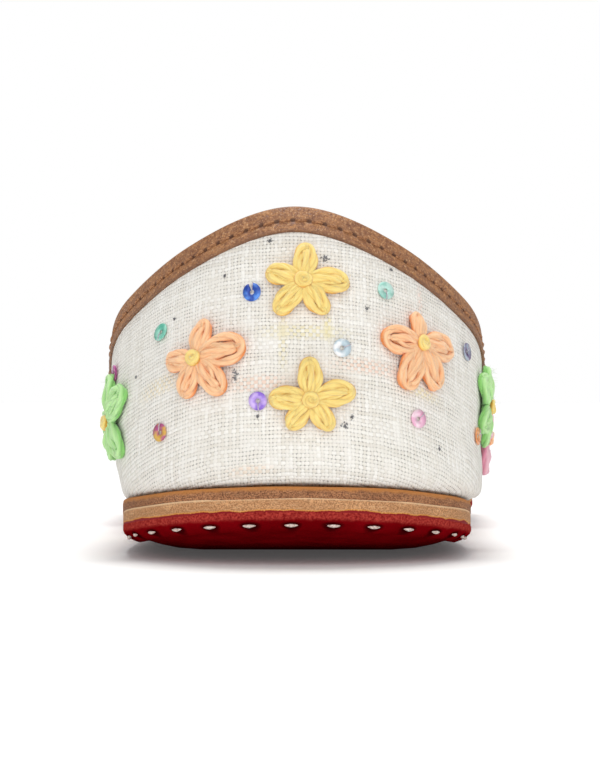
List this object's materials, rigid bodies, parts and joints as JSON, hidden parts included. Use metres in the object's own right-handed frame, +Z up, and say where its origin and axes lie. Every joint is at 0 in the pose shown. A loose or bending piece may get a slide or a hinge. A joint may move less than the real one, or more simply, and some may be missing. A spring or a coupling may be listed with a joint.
{
  "type": "punjabi jutti",
  "caption": "Flat slip-on shoe with a pointed toe, cotton upper with yarn flowers, folded leather topline binding and a layered leather sole.",
  "frame": {"origin": "on the floor under the middle of the shoe's bounding box", "axes": "+Y from heel to toe, +Z up, X across the shoe, so +X is on the right when seen from behind the heel"},
  "size_m": [0.081, 0.2557, 0.0607],
  "materials": {
    "cotton": "coarse plain weave, matt",
    "brown_leather": "satin, fine grain",
    "rand_leather": "cut edge, matt",
    "tan_leather": "cut edge, fibrous",
    "red_leather": "painted, glossy underneath",
    "sock_leather": "satin",
    "yarn_yellow": "soft thick yarn",
    "yarn_orange": "soft thick yarn",
    "yarn_green": "soft thick yarn",
    "yarn_pink": "soft thick yarn"
  },
  "bodies": {
    "root": {"outsole": "red_leather", "midsole": "tan_leather", "rand_layer": "rand_leather", "insole": "sock_leather", "upper": "cotton", "topline_binding": "brown_leather", "flower_back_high": "yarn_yellow", "flower_back_low": "yarn_yellow", "flower_heel_left": "yarn_orange", "flower_heel_right": "yarn_orange", "flower_quarter_left": "yarn_green", "flower_quarter_right": "yarn_green", "flower_waist_left": "yarn_yellow", "flower_waist_right": "yarn_pink", "flower_joint_left": "yarn_orange", "flower_joint_right": "yarn_orange", "flower_ball_left": "yarn_pink", "flower_ball_right": "yarn_pink", "flower_vamp_left": "yarn_green", "flower_vamp_right": "yarn_green", "flower_toe_left": "yarn_yellow", "flower_toe_right": "yarn_yellow", "flower_throat": "yarn_orange", "flower_tip_left": "yarn_orange", "flower_tip_right": "yarn_pink", "flower_tip": "yarn_green"}
  },
  "joints": []
}
